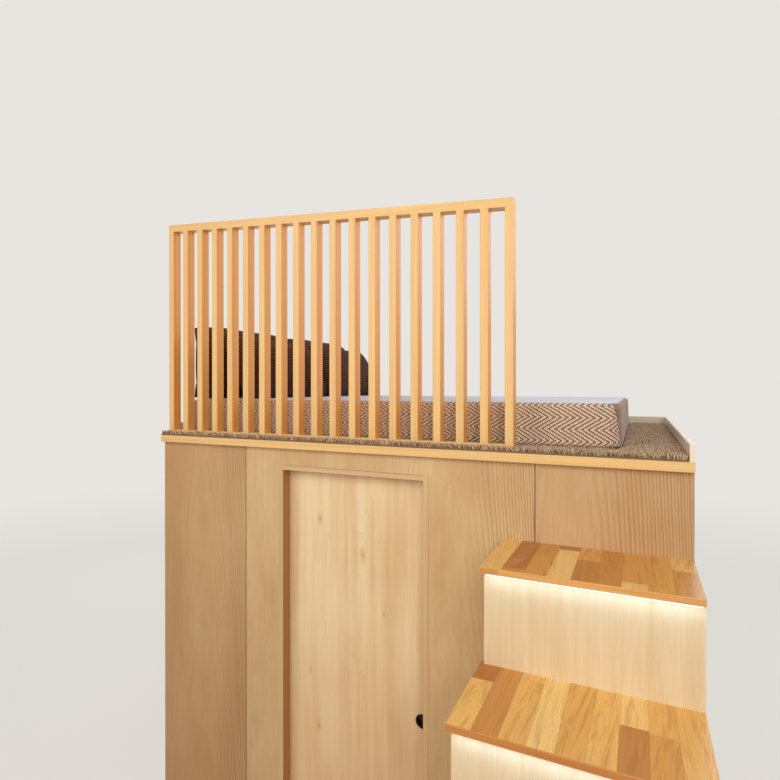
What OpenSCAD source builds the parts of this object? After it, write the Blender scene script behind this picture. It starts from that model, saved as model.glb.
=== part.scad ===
// Sleeping loft of a tiny house, with the partition and sliding door under it and its box stair.
// Lengths are millimetres. In the room frame X runs right from the left wall, Y runs back from
// the partition's front face and Z runs up from the floor.

/* [Room] */
// Width between the outer faces of the side walls
unit_w = 2220; // [2150:10:2400]
// Depth from the partition's front face to the rear wall's outer face
loft_d = 1680; // [1640:10:1900]
// Thickness of the side and rear walls
wall_t = 60; // [40:1:90]
// Width of the sheets that line the side walls
sheet_w = 1250; // [900:10:1500]
// Width and depth of the groove between two wall sheets
groove = 2; // [1:0.5:4]

/* [Partition] */
// Thickness of the partition
partition_t = 48; // [40:1:60]
// Width of the narrow sheet at the left
left_sheet_w = 495; // [440:5:560]
// Width of the centre sheet that holds the doorway
centre_sheet_w = 1250; // [1150:5:1300]
// Chamfer along the front edges that meet at a sheet joint
joint_chamfer = 1.5; // [0.5:0.5:4]

/* [Doorway] */
// Left side of the clear opening
opening_x = 694; // [650:1:710]
// Width of the clear opening
opening_w = 641; // [600:1:700]
// Height of the clear opening
opening_h = 1913; // [1800:1:2150]
// Thickness of the lining boards round the opening
lining_t = 21; // [15:1:30]
// Height of the sheet between the head lining and the edge board
head_sheet_h = 72; // [50:1:120]

/* [Door] */
// Thickness of the leaf
leaf_t = 40; // [30:1:45]
// Gap between the partition's back and the leaf
leaf_gap = 6.5; // [5.5:0.5:9]
// Lap of the leaf behind each side of the opening
leaf_lap = 25; // [15:1:35]
// Lap of the leaf behind the head of the opening
leaf_head_lap = 22; // [12:1:24]
// Gap between the leaf and the floor
leaf_floor_gap = 9; // [8:0.5:15]
// Gap between the open leaf and the left side wall
open_gap = 29; // [10:1:60]
// Rounding of the leaf's front edges
leaf_arris = 2; // [1:0.5:4]

/* [Door pull] */
// Outer radius of the cup
pull_r = 28; // [20:1:40]
// Height of the cup's centre above the floor
pull_z = 972; // [900:1:1100]
// Distance of the cup's centre from the leaf's right edge
pull_inset = 50; // [45:1:80]
// Depth of the cup in the leaf
pull_depth = 16; // [10:1:25]
// Thickness of the cup's wall
pull_wall = 1.5; // [1:0.5:3]
// Width of the flange that covers the edge of the recess
flange_w = 4; // [2:0.5:8]
// Thickness of the flange
flange_t = 1; // [0.5:0.1:1.5]
// Gap round the cup in its recess
pull_fit = 0.2; // [0.1:0.1:0.5]

/* [Door gear] */
// Height of the track
track_h = 44; // [40:1:50]
// Wall of the track
track_wall = 3; // [2:0.5:4]
// Width of the slot under the track
track_slot = 20; // [16:1:24]
// Gap between the leaf and the track
track_rise = 10; // [10:1:14]
// Running gap under the wheels
wheel_gap = 0.3; // [0.2:0.1:0.6]
// Radius of a trolley wheel
wheel_r = 12; // [8:0.5:14]
// Width of a trolley wheel
wheel_w = 9; // [6:0.5:11]
// Distance between a trolley's axles
axle_pitch = 40; // [30:1:60]
// Radius of an axle
axle_r = 3; // [2:0.5:4]
// Length of a trolley's block
trolley_l = 64; // [50:1:90]
// Width of a trolley's block
trolley_w = 12; // [8:1:14]
// Height of a trolley's block
trolley_h = 14; // [10:1:18]
// Radius of a hanger bolt
bolt_r = 4; // [3:0.5:5]
// Length of a hanger plate
plate_l = 90; // [60:1:120]
// Thickness of a hanger plate
plate_t = 4; // [2:0.5:4.5]
// Distance of a trolley from the leaf's edge
trolley_inset = 80; // [60:1:150]
// Clearance between a trolley and its end stop
stop_gap = 5; // [5:1:10]
// Length of an end stop
stop_l = 20; // [10:1:40]
// Thickness of the floor guide's sheet
guide_t = 1.5; // [1:0.1:1.5]
// Length of the floor guide
guide_l = 18; // [10:1:20]
// Height of the fin that runs in the leaf
fin_h = 22; // [18:1:30]
// Thickness of the fin
fin_t = 5; // [3:0.5:8]
// Clearance of the fin in its groove, at each side and over it
fin_gap = 2.5; // [1.5:0.5:4]

/* [Deck] */
// Thickness of the deck board
deck_t = 22; // [18:1:28]
// Thickness of the edge board
edge_t = 31; // [25:1:40]
// Overhang of the edge board in front of the partition
edge_overhang = 23; // [10:1:40]
// Width of a joist
joist_w = 45; // [38:1:60]
// Height of a joist
joist_h = 95; // [70:1:100]
// Number of joists
joist_n = 5; // [3:1:6]
// Gap between the leaf and the first joist
joist_gap = 20; // [10:1:40]
// Width of a wall ledger
ledger_w = 45; // [30:1:60]
// Height of a wall ledger
ledger_h = 70; // [45:1:100]

/* [Carpet and skirting] */
// Thickness of the carpet
carpet_t = 13; // [8:1:20]
// Distance of the carpet's front edge behind the edge board's front
carpet_setback = 3; // [0:1:15]
// Gap round the carpet where it meets wood
carpet_gap = 0.3; // [0.1:0.1:2]
// Height of the skirting above the deck
skirting_h = 54; // [40:1:80]
// Thickness of the skirting
skirting_t = 15; // [10:1:20]
// Chamfer along the skirting's top front edge
skirting_chamfer = 3; // [1:0.5:6]
// Distance of the skirting's front end behind the edge board's front
skirting_setback = 1; // [0:1:10]

/* [Screen] */
// Length of the slatted screen
screen_l = 1666; // [1300:1:1750]
// Distance of its front face behind the partition's front face
screen_y = 26; // [15:1:40]
// Width of an upright seen from the front
bar_w = 31; // [20:1:45]
// Depth of an upright from front to back
bar_d = 45; // [30:1:60]
// Number of uprights with both posts
upright_n = 19; // [9:1:22]
// Height of the top rail's upper face above the deck at the left wall
screen_h = 1013; // [800:1:1200]
// Fall of the top rail towards the right, in degrees
roof_fall = 4; // [0:0.5:8]
// Height of the top rail, measured plumb
top_rail_h = 33; // [20:1:45]
// Height of the bottom rail
bottom_rail_h = 23; // [16:1:40]
// Chamfer along the long edges of the uprights
bar_chamfer = 1.5; // [0.5:0.5:4]

/* [Bedding] */
// Thickness of the mattress
mattress_t = 158; // [100:1:220]
// Gap between the screen and the mattress
bed_front_gap = 75; // [30:1:150]
// Gap between the mattress and the right skirting
bed_foot_gap = 192; // [50:1:400]
// Gap between the mattress and the rear skirting
bed_rear_gap = 119; // [20:1:200]
// Rounding of its upright corners
mattress_corner = 45; // [30:1:80]
// Rounding of its top and bottom edges
mattress_edge = 14; // [8:1:25]
// Gap between soft pieces and what they lie on or stand beside
soft_gap = 0.3; // [0.1:0.1:1]
// Height of a back pillow
pillow_h = 362; // [250:1:450]
// Thickness of a back pillow
pillow_t = 168; // [120:1:200]
// Rounding of a pillow's corners seen from its face
pillow_corner = 60; // [54:1:100]
// Width of the rounding at a pillow's edges
pillow_rim = 46; // [30:1:50]
// Width of the seam band round a pillow
pillow_seam = 6; // [3:0.5:12]
// Distance of the first pillow from the mattress's front edge
pillow_margin = 18; // [5:1:40]
// Gap between the two pillows of a row
pillow_apart = 10; // [5:1:60]
// Height of a leaning pillow
lean_h = 325; // [280:5:400]
// Thickness of a leaning pillow
lean_t = 120; // [100:1:150]
// Lean of the front pillows from upright, in degrees
lean = 32; // [25:1:50]
// Difference in width between a back pillow and a leaning one, at each side
lean_margin = 30; // [0:5:60]

/* [Stair] */
// Width of a tread
tread_w = 579; // [480:1:640]
// Thickness of a tread
tread_t = 18; // [16:1:40]
// Number of treads
tread_n = 6; // [5:1:7]
// Drop from the deck to the highest tread
top_rise = 303; // [250:1:320]
// Distance from one tread's front edge to the next
going = 304; // [240:1:340]
// Depth of the highest tread
top_tread_d = 326; // [280:1:380]
// Overhang of a tread over its riser
nosing = 13; // [10:1:30]
// Overhang of a tread over the stair's left side
side_nosing = 11; // [5:1:20]
// Thickness of the risers and sides
stair_board_t = 18; // [15:1:25]
// Rounding of a tread's top edges
tread_arris = 2; // [1:0.5:4]
// Leg of the triangular light strip under a nosing
strip_leg = 9; // [6:1:10]
// Distance of a light strip from the ends of its riser
strip_inset = 6; // [2:1:20]

/* [Hidden] */
// Overall depth, for the shift that puts the origin under the middle of the whole part
stair_d = top_tread_d + going * (tread_n - 1);
depth_shift = (stair_d - loft_d) / 2;
inner_depth = loft_d - wall_t;

// Partition and doorway
lining_top = opening_h + lining_t;
edge_bottom = lining_top + head_sheet_h;
deck_top = edge_bottom + edge_t;
right_sheet_x = left_sheet_w + centre_sheet_w;
opening_end = opening_x + opening_w;
lining_x = opening_x - lining_t;
lining_end = opening_end + lining_t;

// Door leaf and its gear
leaf_y = partition_t + leaf_gap;
leaf_x = opening_x - leaf_lap;
leaf_end = opening_end + leaf_lap;
leaf_top = opening_h + leaf_head_lap;
door_travel = leaf_x - wall_t - open_gap;
leaf_mid_y = leaf_y + leaf_t / 2;
pull_x = leaf_end - pull_inset;
track_w = 2 * (leaf_mid_y - partition_t);
track_z = leaf_top + track_rise;
trolley_x = [leaf_x + trolley_inset, leaf_end - trolley_inset];
track_x = trolley_x[0] - door_travel - trolley_l / 2 - stop_gap - stop_l;
track_end = trolley_x[1] + trolley_l / 2 + stop_gap + stop_l;
axle_z = track_z + track_wall + wheel_gap + wheel_r;
track_inner_w = track_w - 2 * track_wall;
guide_x = opening_x - lining_t / 2;
fin_groove_w = fin_t + 2 * fin_gap;
fin_groove_top = fin_h + fin_gap;

// Deck
deck_z = deck_top - deck_t;
joist_y = leaf_y + leaf_t + joist_gap;
joist_pitch = (inner_depth - joist_y - joist_w) / (joist_n - 1);
joist_z = deck_z - joist_h;
carpet_top = deck_top + carpet_t;
carpet_y = carpet_setback - edge_overhang;

// Screen
upright_pitch = (screen_l - bar_w) / (upright_n - 1);
roof_slope = tan(roof_fall);
rail_top_z = deck_top + screen_h;
slat_z = deck_top + bottom_rail_h;

// Bedding
mattress_x = skirting_t + soft_gap;
mattress_y = screen_y + bar_d + bed_front_gap;
mattress_l = unit_w - skirting_t - bed_foot_gap - mattress_x;
mattress_w = loft_d - skirting_t - bed_rear_gap - mattress_y;
pillow_w = (mattress_w - pillow_apart) / 2 - pillow_margin;
mattress_z = carpet_top + soft_gap;
pillow_z = mattress_z + mattress_t + soft_gap;
pillow_y = [for (i = [0, 1]) mattress_y + pillow_margin + i * (pillow_w + pillow_apart)];
back_face_x = mattress_x + pillow_t;
lean_x = back_face_x + soft_gap + lean_reach(sin(lean), cos(lean))
    + (lean_h - pillow_corner) * sin(lean) - lean_t / 2 * cos(lean);
lean_z = pillow_z + lean_reach(cos(lean), sin(lean)) - pillow_corner * cos(lean) - lean_t / 2 * sin(lean);

// How far the leaning pillow's rounded edge reaches from its middle, towards a direction that is
// given as its share along the pillow's face and its share through the pillow's thickness
function lean_reach(along, through) =
    (pillow_corner - pillow_rim) * along + pillow_seam / 2 * through
    + sqrt(pow(pillow_rim * along, 2) + pow((lean_t - pillow_seam) / 2 * through, 2));

// Stair
tread_x = unit_w - tread_w;
stair_x = tread_x + side_nosing;
// The rise is worked out to a tenth of a millimetre, so that treads and risers meet face to face
rise = round(10 * (deck_top - top_rise) / tread_n) / 10;
function tread_top(i) = rise * (tread_n - i);
function tread_front(i) = -(top_tread_d + going * i);
function riser_y(i) = tread_front(i) + nosing;
function riser_back(i) = riser_y(i) + stair_board_t;

// Facets of soft pieces and of round hardware
soft_fn = 24;
round_fn = 64;

// Moves a piece from the room frame to the part's own frame
module in_room() {
    translate([-unit_w / 2, depth_shift, 0]) children();
}

// A block between two corners
module block(low, high) {
    translate(low) cube(high - low);
}

// An outline in X and Z, carried back from y over a depth
module front_outline(y, depth, points) {
    translate([0, y + depth, 0]) rotate([90, 0, 0]) linear_extrude(depth) polygon(points);
}

// An outline in Y and Z, carried right from x over a width
module side_outline(x, width, points) {
    translate([x, 0, 0]) rotate([90, 0, 90]) linear_extrude(width) polygon(points);
}

// Partition sheet from x0 to x1 and z0 to z1, with a chamfer at the front where it meets a joint
module partition_sheet(x0, x1, z0, z1, left_cut, right_cut) {
    translate([0, 0, z0]) linear_extrude(z1 - z0)
        polygon([[x0 + left_cut, 0], [x1 - right_cut, 0], [x1, right_cut], [x1, partition_t],
                 [x0, partition_t], [x0, left_cut]]);
}

module partition_left() {
    in_room() color("#d2ab7a") partition_sheet(0, left_sheet_w, 0, edge_bottom, 0, joint_chamfer);
}

module partition_door_left() {
    in_room() color("#cda574") partition_sheet(left_sheet_w, lining_x, 0, edge_bottom, joint_chamfer, 0);
}

module partition_door_head() {
    in_room() color("#cda574") partition_sheet(lining_x, lining_end, lining_top, edge_bottom, 0, 0);
}

module partition_door_right() {
    in_room() color("#cda574") partition_sheet(lining_end, right_sheet_x, 0, edge_bottom, 0, joint_chamfer);
}

module partition_right() {
    in_room() color("#d2ab7a") partition_sheet(right_sheet_x, unit_w, 0, edge_bottom, joint_chamfer, 0);
}

module door_lining_left() {
    in_room() color("#d9b384") block([lining_x, 0, 0], [opening_x, partition_t, lining_top]);
}

module door_lining_right() {
    in_room() color("#d9b384") block([opening_end, 0, 0], [lining_end, partition_t, lining_top]);
}

module door_lining_head() {
    in_room() color("#d9b384") block([opening_x, 0, opening_h], [opening_end, partition_t, lining_top]);
}

// Flush leaf with eased front edges, a blind recess for the pull and a groove for the floor guide
module door_leaf() {
    in_room() color("#e4c89b") difference() {
        translate([0, 0, leaf_floor_gap]) linear_extrude(leaf_top - leaf_floor_gap)
            polygon([[leaf_x + leaf_arris, leaf_y], [leaf_end - leaf_arris, leaf_y],
                     [leaf_end, leaf_y + leaf_arris], [leaf_end, leaf_y + leaf_t],
                     [leaf_x, leaf_y + leaf_t], [leaf_x, leaf_y + leaf_arris]]);
        translate([pull_x, leaf_y - 1, pull_z]) rotate([-90, 0, 0])
            cylinder(h = pull_depth + 1, r = pull_r + pull_fit - flange_w, $fn = round_fn);
        translate([leaf_x - 1, leaf_mid_y - fin_groove_w / 2, 0])
            cube([leaf_end - leaf_x + 2, fin_groove_w, fin_groove_top]);
    }
}

// Round cup pull: a turned cup whose flange covers the edge of the recess
module door_pull() {
    cup_r = pull_r - flange_w;
    in_room() color("#14120f") translate([pull_x, leaf_y, pull_z]) rotate([-90, 0, 0])
        rotate_extrude($fn = round_fn)
            polygon([[0, pull_depth - pull_wall], [cup_r - pull_wall, pull_depth - pull_wall],
                     [cup_r - pull_wall, -flange_t], [pull_r, -flange_t], [pull_r, 0], [cup_r, 0],
                     [cup_r, pull_depth], [0, pull_depth]]);
}

// Trolley with four wheels, its bolt and the plate on the leaf's top edge
module trolley(x) {
    wheel_y = track_slot / 2 + wheel_w / 2;
    translate([x, leaf_mid_y, 0]) {
        block([-trolley_l / 2, -trolley_w / 2, axle_z - trolley_h / 2],
              [trolley_l / 2, trolley_w / 2, axle_z + trolley_h / 2]);
        for (side = [-1, 1]) translate([side * axle_pitch / 2, 0, axle_z]) rotate([90, 0, 0]) {
            cylinder(h = 2 * wheel_y, r = axle_r, center = true, $fn = round_fn);
            for (end = [-1, 1]) translate([0, 0, end * wheel_y])
                cylinder(h = wheel_w, r = wheel_r, center = true, $fn = round_fn);
        }
        translate([0, 0, leaf_top]) cylinder(h = axle_z - leaf_top, r = bolt_r, $fn = round_fn);
        block([-plate_l / 2, -leaf_t / 3, leaf_top], [plate_l / 2, leaf_t / 3, leaf_top + plate_t]);
    }
}

module door_hangers() {
    in_room() color("#9a9c9e") for (x = trolley_x) trolley(x);
}

// Slotted track, fixed to the partition's back, with a stop block in each end
module door_track() {
    y0 = partition_t;
    y1 = partition_t + track_w;
    z1 = track_z + track_h;
    slot_y = [leaf_mid_y - track_slot / 2, leaf_mid_y + track_slot / 2];
    in_room() color("#b9bcbe") {
        side_outline(track_x, track_end - track_x,
            [[y0, track_z], [slot_y[0], track_z], [slot_y[0], track_z + track_wall],
             [y0 + track_wall, track_z + track_wall], [y0 + track_wall, z1 - track_wall],
             [y1 - track_wall, z1 - track_wall], [y1 - track_wall, track_z + track_wall],
             [slot_y[1], track_z + track_wall], [slot_y[1], track_z], [y1, track_z], [y1, z1], [y0, z1]]);
        for (x = [track_x, track_end - stop_l])
            block([x, y0 + track_wall, track_z + track_wall], [x + stop_l, y1 - track_wall, z1 - track_wall]);
    }
}

// Bent floor guide, fixed to the back of the lining, with a fin that runs in the leaf's groove
module door_guide() {
    x0 = guide_x - guide_l / 2;
    foot_t = 2 * guide_t;
    in_room() color("#8d8f90") side_outline(x0, guide_l,
        [[partition_t, 0], [leaf_mid_y + fin_t / 2, 0], [leaf_mid_y + fin_t / 2, fin_h],
         [leaf_mid_y - fin_t / 2, fin_h], [leaf_mid_y - fin_t / 2, foot_t],
         [partition_t + guide_t, foot_t], [partition_t + guide_t, 2 * fin_h], [partition_t, 2 * fin_h]]);
}

// Upright wall panel beside the space under the deck, with a groove at each joint between sheets
module side_wall(x, outer_x) {
    difference() {
        block([x, partition_t, 0], [x + wall_t, inner_depth, deck_z]);
        for (y = [sheet_w:sheet_w:inner_depth - groove])
            translate([outer_x - groove, y - groove / 2, -1]) cube([2 * groove, groove, deck_z + 2]);
    }
}

module side_wall_left() {
    in_room() color("#c99f6c") side_wall(0, 0);
}

module side_wall_right() {
    in_room() color("#c99f6c") side_wall(unit_w - wall_t, unit_w);
}

module rear_wall() {
    in_room() color("#c99f6c") difference() {
        block([0, inner_depth, 0], [unit_w, loft_d, deck_z]);
        for (x = [left_sheet_w, right_sheet_x])
            translate([x - groove / 2, loft_d - groove, -1]) cube([groove, 2 * groove, deck_z + 2]);
    }
}

module wall_ledgers() {
    in_room() color("#dcb987") for (x = [wall_t, unit_w - wall_t - ledger_w])
        block([x, joist_y, joist_z - ledger_h], [x + ledger_w, inner_depth, joist_z]);
}

module joists() {
    in_room() color("#e0bf8e") for (i = [0:joist_n - 1])
        block([wall_t, joist_y + i * joist_pitch, joist_z],
              [unit_w - wall_t, joist_y + i * joist_pitch + joist_w, deck_z]);
}

module deck_board() {
    in_room() color("#c49a66") block([0, partition_t, deck_z], [unit_w, loft_d, deck_top]);
}

module edge_board() {
    in_room() color("#eac37c") block([0, -edge_overhang, edge_bottom], [unit_w, partition_t, deck_top]);
}

// Carpet cut round the screen's bottom rail and the skirting
module carpet() {
    right = unit_w - skirting_t - carpet_gap;
    rear = loft_d - skirting_t - carpet_gap;
    screen_back = screen_y + bar_d + carpet_gap;
    in_room() color("#8c7660") translate([0, 0, deck_top]) linear_extrude(carpet_t) difference() {
        polygon([[0, carpet_y], [right, carpet_y], [right, rear], [skirting_t + carpet_gap, rear],
                 [skirting_t + carpet_gap, screen_back], [0, screen_back]]);
        translate([-1, screen_y - carpet_gap]) square([screen_l + carpet_gap + 1, bar_d + 2 * carpet_gap]);
    }
}

// Skirting board along Y, its back at x, facing right when side is 1 and left when it is -1
module skirting_run(x, side, y0, y1) {
    translate([x, y1, deck_top]) rotate([90, 0, 0]) linear_extrude(y1 - y0)
        polygon([[0, 0], [side * skirting_t, 0], [side * skirting_t, skirting_h - skirting_chamfer],
                 [side * (skirting_t - skirting_chamfer), skirting_h], [0, skirting_h]]);
}

module skirting_sides() {
    in_room() color("#ece0cb") {
        skirting_run(0, 1, screen_y + bar_d, loft_d);
        skirting_run(unit_w, -1, skirting_setback - edge_overhang, loft_d);
    }
}

module skirting_rear() {
    in_room() color("#ece0cb") side_outline(skirting_t, unit_w - 2 * skirting_t,
        [[loft_d, deck_top], [loft_d, deck_top + skirting_h],
         [loft_d - skirting_t + skirting_chamfer, deck_top + skirting_h],
         [loft_d - skirting_t, deck_top + skirting_h - skirting_chamfer], [loft_d - skirting_t, deck_top]]);
}

// Underside of the sloping top rail at x, and the cut that fits an upright to it
function rail_soffit(x) = rail_top_z - top_rail_h - roof_slope * x;

// Upright number i, with chamfered long edges and its top cut to the slope of the rail
module upright(i) {
    x0 = i * upright_pitch;
    x1 = x0 + bar_w;
    y1 = screen_y + bar_d;
    c = bar_chamfer;
    intersection() {
        translate([0, 0, slat_z]) linear_extrude(screen_h)
            polygon([[x0 + c, screen_y], [x1 - c, screen_y], [x1, screen_y + c], [x1, y1 - c],
                     [x1 - c, y1], [x0 + c, y1], [x0, y1 - c], [x0, screen_y + c]]);
        front_outline(screen_y - 1, bar_d + 2,
            [[x0 - 1, slat_z], [x1 + 1, slat_z], [x1 + 1, rail_soffit(x1 + 1)], [x0 - 1, rail_soffit(x0 - 1)]]);
    }
}

module screen_bottom_rail() {
    in_room() color("#ebc57f") block([0, screen_y, deck_top], [screen_l, screen_y + bar_d, slat_z]);
}

module screen_posts() {
    in_room() color("#ebc57f") for (i = [0, upright_n - 1]) upright(i);
}

module screen_slats() {
    in_room() color("#efca86") for (i = [1:upright_n - 2]) upright(i);
}

module screen_top_rail() {
    in_room() color("#ebc57f") front_outline(screen_y, bar_d,
        [[0, rail_soffit(0)], [screen_l, rail_soffit(screen_l)],
         [screen_l, rail_soffit(screen_l) + top_rail_h], [0, rail_top_z]]);
}

// Turned disc with elliptical rims, the corner from which a soft block is blended
module soft_corner(radius, thickness, rim_w, rim_h) {
    steps = 4;
    turn = [for (k = [0:steps]) 90 * k / steps];
    inner = radius - rim_w;
    rotate_extrude($fn = soft_fn) polygon(concat(
        [[0, 0]],
        [for (a = turn) [inner + rim_w * sin(a), rim_h * (1 - cos(a))]],
        [for (a = turn) [inner + rim_w * cos(a), thickness - rim_h * (1 - sin(a))]],
        [[0, thickness]]));
}

// Soft block from the origin, blended from its four corners
module soft_block(length, width, thickness, radius, rim_w, rim_h) {
    hull() for (x = [radius, length - radius], y = [radius, width - radius])
        translate([x, y, 0]) soft_corner(radius, thickness, rim_w, rim_h);
}

module mattress() {
    in_room() color("#cdcde1") translate([mattress_x, mattress_y, mattress_z])
        soft_block(mattress_l, mattress_w, mattress_t, mattress_corner, mattress_edge, mattress_edge);
}

// Upright pillow from the origin: thickness along X, width along Y and height along Z
module pillow(thickness, width, height) {
    translate([thickness, 0, 0]) rotate([0, -90, 0])
        soft_block(height, width, thickness, pillow_corner, pillow_rim, (thickness - pillow_seam) / 2);
}

module pillows_back() {
    in_room() color("#38241c") for (y = pillow_y)
        translate([mattress_x, y, pillow_z]) pillow(pillow_t, pillow_w, pillow_h);
}

// Pillow that stands on the mattress and leans with its top edge on a back pillow
module leaning_pillow(i) {
    translate([lean_x, pillow_y[i] + lean_margin, lean_z]) rotate([0, -lean, 0])
        pillow(lean_t, pillow_w - 2 * lean_margin, lean_h);
}

module pillow_front() {
    in_room() color("#33211c") leaning_pillow(0);
}

module pillow_rear() {
    in_room() color("#3b2a26") leaning_pillow(1);
}

// Tread number i from the top, with eased edges, reaching back to the partition or under a riser
module tread(i) {
    y0 = tread_front(i);
    y1 = i == 0 ? 0 : riser_back(i - 1);
    z1 = tread_top(i);
    z0 = z1 - tread_t;
    a = tread_arris;
    in_room() color("#cf9656") side_outline(tread_x, tread_w,
        [[y0, z0], [y1, z0], [y1, z1], [y0 + a, z1], [y0, z1 - a]]);
}

// Riser number i from the top, standing on the tread below it or on the floor
module riser(i) {
    z0 = i == tread_n - 1 ? 0 : tread_top(i + 1);
    in_room() color("#e4c69a") block([stair_x, riser_y(i), z0], [unit_w, riser_back(i), tread_top(i) - tread_t]);
}

// Stepped side board that carries the treads
module stair_side(x) {
    steps = [for (i = [0:tread_n - 1], k = [0, 1])
        [k == 0 ? (i == 0 ? 0 : riser_back(i - 1)) : riser_back(i), tread_top(i) - tread_t]];
    side_outline(x, stair_board_t, concat([[0, 0]], steps, [[riser_back(tread_n - 1), 0]]));
}

module stair_side_left() {
    in_room() color("#dfbf91") stair_side(stair_x);
}

module stair_side_right() {
    in_room() color("#dfbf91") stair_side(unit_w - stair_board_t);
}

// Corner profile under each nosing that lights the riser
module light_strips() {
    in_room() color("#fff4dc") for (i = [0:tread_n - 1]) {
        y = riser_y(i);
        z = tread_top(i) - tread_t;
        side_outline(stair_x + strip_inset, unit_w - stair_x - 2 * strip_inset,
            [[y - strip_leg, z], [y, z - strip_leg], [y, z]]);
    }
}

partition_left();
partition_door_left();
partition_door_head();
partition_door_right();
partition_right();
door_lining_left();
door_lining_right();
door_lining_head();
door_leaf();
door_pull();
door_hangers();
door_track();
door_guide();
side_wall_left();
side_wall_right();
rear_wall();
wall_ledgers();
joists();
deck_board();
edge_board();
carpet();
skirting_sides();
skirting_rear();
screen_bottom_rail();
screen_posts();
screen_slats();
screen_top_rail();
mattress();
pillows_back();
pillow_front();
pillow_rear();
for (i = [1:tread_n]) tread(i - 1);
for (i = [1:tread_n]) riser(i - 1);
stair_side_left();
stair_side_right();
light_strips();
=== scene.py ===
import math

import bmesh
import bpy
import numpy as np
from mathutils import Matrix, Vector


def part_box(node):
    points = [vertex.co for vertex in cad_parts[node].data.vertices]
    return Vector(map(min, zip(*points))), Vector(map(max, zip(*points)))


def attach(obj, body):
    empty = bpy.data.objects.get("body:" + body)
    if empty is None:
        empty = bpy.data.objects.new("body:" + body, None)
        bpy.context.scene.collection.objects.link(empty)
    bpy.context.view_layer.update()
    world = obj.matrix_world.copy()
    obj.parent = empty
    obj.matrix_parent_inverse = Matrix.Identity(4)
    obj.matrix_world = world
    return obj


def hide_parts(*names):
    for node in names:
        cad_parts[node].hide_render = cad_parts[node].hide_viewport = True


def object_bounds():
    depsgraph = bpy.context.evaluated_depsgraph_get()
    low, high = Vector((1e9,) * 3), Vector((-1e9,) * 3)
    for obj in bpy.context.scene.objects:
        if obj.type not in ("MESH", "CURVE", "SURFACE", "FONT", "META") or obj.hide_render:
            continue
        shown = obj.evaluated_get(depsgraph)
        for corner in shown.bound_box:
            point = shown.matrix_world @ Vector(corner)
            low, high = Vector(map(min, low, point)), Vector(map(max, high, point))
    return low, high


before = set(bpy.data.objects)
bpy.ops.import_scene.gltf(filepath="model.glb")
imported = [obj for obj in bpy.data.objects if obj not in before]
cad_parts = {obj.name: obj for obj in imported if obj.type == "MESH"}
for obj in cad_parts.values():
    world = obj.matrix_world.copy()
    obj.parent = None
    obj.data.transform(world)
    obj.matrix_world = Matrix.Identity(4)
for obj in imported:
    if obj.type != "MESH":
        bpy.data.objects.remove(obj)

cad_low, cad_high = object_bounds()
scene = bpy.context.scene


# Viewpoint and light. The loft is seen from the stair, at the eye of someone who stands 1.85 metres
# in front of the partition and looks to the left. Broad soft lamps hang in front, behind and at
# both sides, and the pale floor and sky fill the rest.
EYE_HEIGHT = 2.26
EYE_FROM_LEFT = 2.0664
EYE_IN_FRONT = 1.8502
TURN_LEFT = 25.15
LOOK_DOWN = 0.19
FOCAL_PIXELS = 530.35
PICTURE_PIXELS = 780
SENSOR = 36.0
SKY = (232, 229, 224)
SKY_TINT = (255, 250, 244)
SKY_LIGHT = 0.40
FLOOR_TONE = (222, 219, 214)
FLOOR_HALF_WIDTH = 80.0
FLOOR_FADE = (3.0, 12.0)
FLOOR_GLOW = 0.75
# Each lamp's place, what it points at, its width, its power and its colour
LAMPS = {
    "front_lamp_left": ((-1.5, -2.7, 3.3), (0.0, 0.0, 2.0), 2.0, 40, (255, 240, 222)),
    "front_lamp_right": ((1.8, -2.5, 3.4), (0.0, 0.0, 2.0), 2.0, 54, (255, 250, 242)),
    "rear_lamp": ((1.6, 4.2, 4.2), (0.0, 1.2, 2.0), 2.0, 34, (240, 241, 246)),
    "left_lamp": ((-4.6, 3.6, 3.0), (-0.6, 1.0, 1.2), 2.6, 46, (255, 248, 238)),
    "right_lamp": ((4.6, 3.2, 2.2), (0.9, 1.2, 1.0), 2.6, 36, (255, 248, 238)),
}

room_left = cad_low.x
partition_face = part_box("partition_left")[0].y


def tone(red, green, blue):
    """Colour of a surface given as it looks on a screen, 0 to 255, turned into linear light."""
    screen = np.array([red, green, blue]) / 255
    linear = np.where(screen <= 0.04045, screen / 12.92, ((screen + 0.055) / 1.055) ** 2.4)
    return (*(float(value) for value in linear), 1.0)


def add_camera():
    camera = bpy.data.objects.new("eye", bpy.data.cameras.new("eye"))
    scene.collection.objects.link(camera)
    camera.data.sensor_width = SENSOR
    camera.data.lens = SENSOR * FOCAL_PIXELS / PICTURE_PIXELS
    camera.location = (room_left + EYE_FROM_LEFT, partition_face - EYE_IN_FRONT, EYE_HEIGHT)
    camera.rotation_euler = (math.radians(90 - LOOK_DOWN), 0, math.radians(TURN_LEFT))
    scene.camera = camera


def add_lamp(name, place, width, height, power, colour):
    """Flat lamp that shines down and isn't seen itself."""
    lamp = bpy.data.objects.new(name, bpy.data.lights.new(name, "AREA"))
    scene.collection.objects.link(lamp)
    lamp.data.shape = "RECTANGLE"
    lamp.data.size = width
    lamp.data.size_y = height
    lamp.data.energy = power
    lamp.data.color = tone(*colour)[:3]
    lamp.visible_camera = False
    lamp.location = place
    return lamp


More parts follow.
